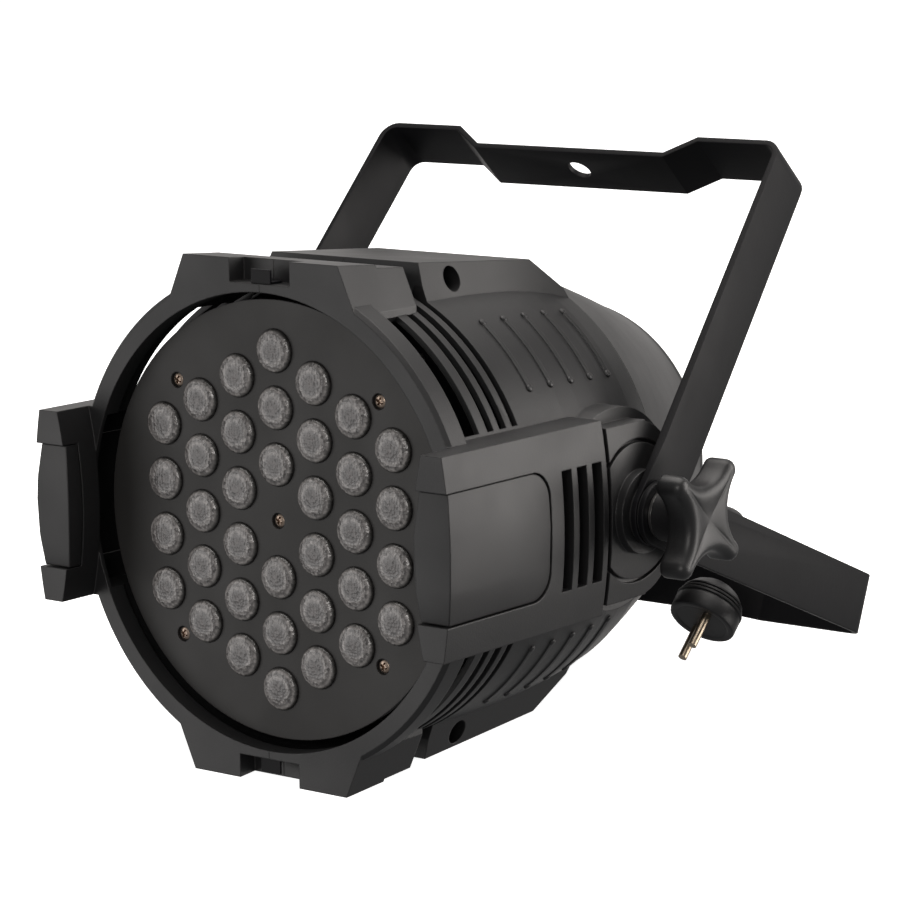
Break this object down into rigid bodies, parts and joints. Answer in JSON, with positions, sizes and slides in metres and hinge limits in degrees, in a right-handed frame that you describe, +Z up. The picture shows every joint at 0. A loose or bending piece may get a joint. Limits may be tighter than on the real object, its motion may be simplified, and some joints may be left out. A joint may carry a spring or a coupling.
{
  "type": "par can light",
  "caption": "Round stage light with small domed lenses in a deep case, on a double tilting bracket with star knobs, with side pods, rear panel and mains lead.",
  "frame": {"origin": "on the floor under the middle of the light, with its brackets and knobs but without its lead", "axes": "+X to the right seen from behind the light, +Y from the lenses to the rear, +Z up; the light looks towards -Y, 4.5 degrees up"},
  "size_m": [0.348, 0.3578, 0.2805],
  "materials": {
    "case": "fine grained moulding",
    "bracket": "satin powder coat",
    "plate": "matt coat",
    "lens": "clear moulded lens",
    "steel": "zinc plated",
    "heat_sink": "extruded",
    "board": "solder mask",
    "led": "clear resin",
    "washer": "matt",
    "black_plastic": "satin moulding",
    "knob": "fine grained moulding",
    "window": "dark tinted",
    "button": "satin",
    "lead": "satin sheath",
    "pin": "nickel plated"
  },
  "bodies": {
    "lamp": {"shell_left": "case", "shell_right": "case", "side_cover_left": "case", "side_cover_right": "case", "rear_housing": "case", "rear_panel": "plate", "lens_plate": "plate", "lenses": "lens", "plate_screws": "steel", "led_board": "board", "leds": "led", "heat_sink": "heat_sink", "bulkhead": "bracket", "fan_frame": "black_plastic", "power_supply": "board", "control_board": "board", "board_posts": "steel", "frame_clips": "steel", "shell_screws": "steel", "panel_screws": "steel", "display_window": "window", "dmx_in_socket": "black_plastic", "dmx_out_socket": "black_plastic", "fuse_holder": "black_plastic", "safety_eye": "steel", "cable_gland": "black_plastic", "pivot_bushes": "steel", "inner_washers": "washer", "middle_washers": "washer", "lead_drop": "lead", "lead_coil": "lead", "lead_tail": "lead", "plug_body": "lead", "plug_pins": "pin", "plug_relief": "lead"},
    "hanging_bracket": {"hanging_bracket": "bracket"},
    "floor_bracket": {"floor_bracket": "bracket"},
    "knob_left": {"knob_left": "knob", "knob_stud_left": "steel", "knob_washer_left": "steel"},
    "knob_right": {"knob_right": "knob", "knob_stud_right": "steel", "knob_washer_right": "steel"},
    "fan": {"fan_rotor": "black_plastic"},
    "button_menu": {"button_menu": "button"},
    "button_up": {"button_up": "button"},
    "button_down": {"button_down": "button"},
    "button_enter": {"button_enter": "button"}
  },
  "joints": [
    {"name": "hang_tilt", "type": "hinge", "parent": "lamp", "child": "hanging_bracket", "pos_m": [0, -0.02202, 0.11886], "axis": [1, 0, 0], "range_deg": [-23, 101]},
    {"name": "floor_tilt", "type": "hinge", "parent": "lamp", "child": "floor_bracket", "pos_m": [0, -0.02202, 0.11886], "axis": [1, 0, 0], "range_deg": [-127, 10]},
    {"name": "knob_left_turn", "type": "hinge", "parent": "lamp", "child": "knob_left", "pos_m": [-0.16, -0.02202, 0.11886], "axis": [-1, 0, 0], "range_deg": [0, 360]},
    {"name": "knob_right_turn", "type": "hinge", "parent": "lamp", "child": "knob_right", "pos_m": [0.16, -0.02202, 0.11886], "axis": [1, 0, 0], "range_deg": [0, 360]},
    {"name": "fan_spin", "type": "hinge", "parent": "lamp", "child": "fan", "pos_m": [0, -0.00408, 0.11745], "axis": [0, 0.9969, -0.0785], "continuous": true},
    {"name": "button_menu_press", "type": "slide", "parent": "lamp", "child": "button_menu", "axis": [0, -0.9969, 0.0785], "range_m": [0, 0.0015], "stiffness_N_per_m": 400},
    {"name": "button_up_press", "type": "slide", "parent": "lamp", "child": "button_up", "axis": [0, -0.9969, 0.0785], "range_m": [0, 0.0015], "stiffness_N_per_m": 400},
    {"name": "button_down_press", "type": "slide", "parent": "lamp", "child": "button_down", "axis": [0, -0.9969, 0.0785], "range_m": [0, 0.0015], "stiffness_N_per_m": 400},
    {"name": "button_enter_press", "type": "slide", "parent": "lamp", "child": "button_enter", "axis": [0, -0.9969, 0.0785], "range_m": [0, 0.0015], "stiffness_N_per_m": 400}
  ]
}
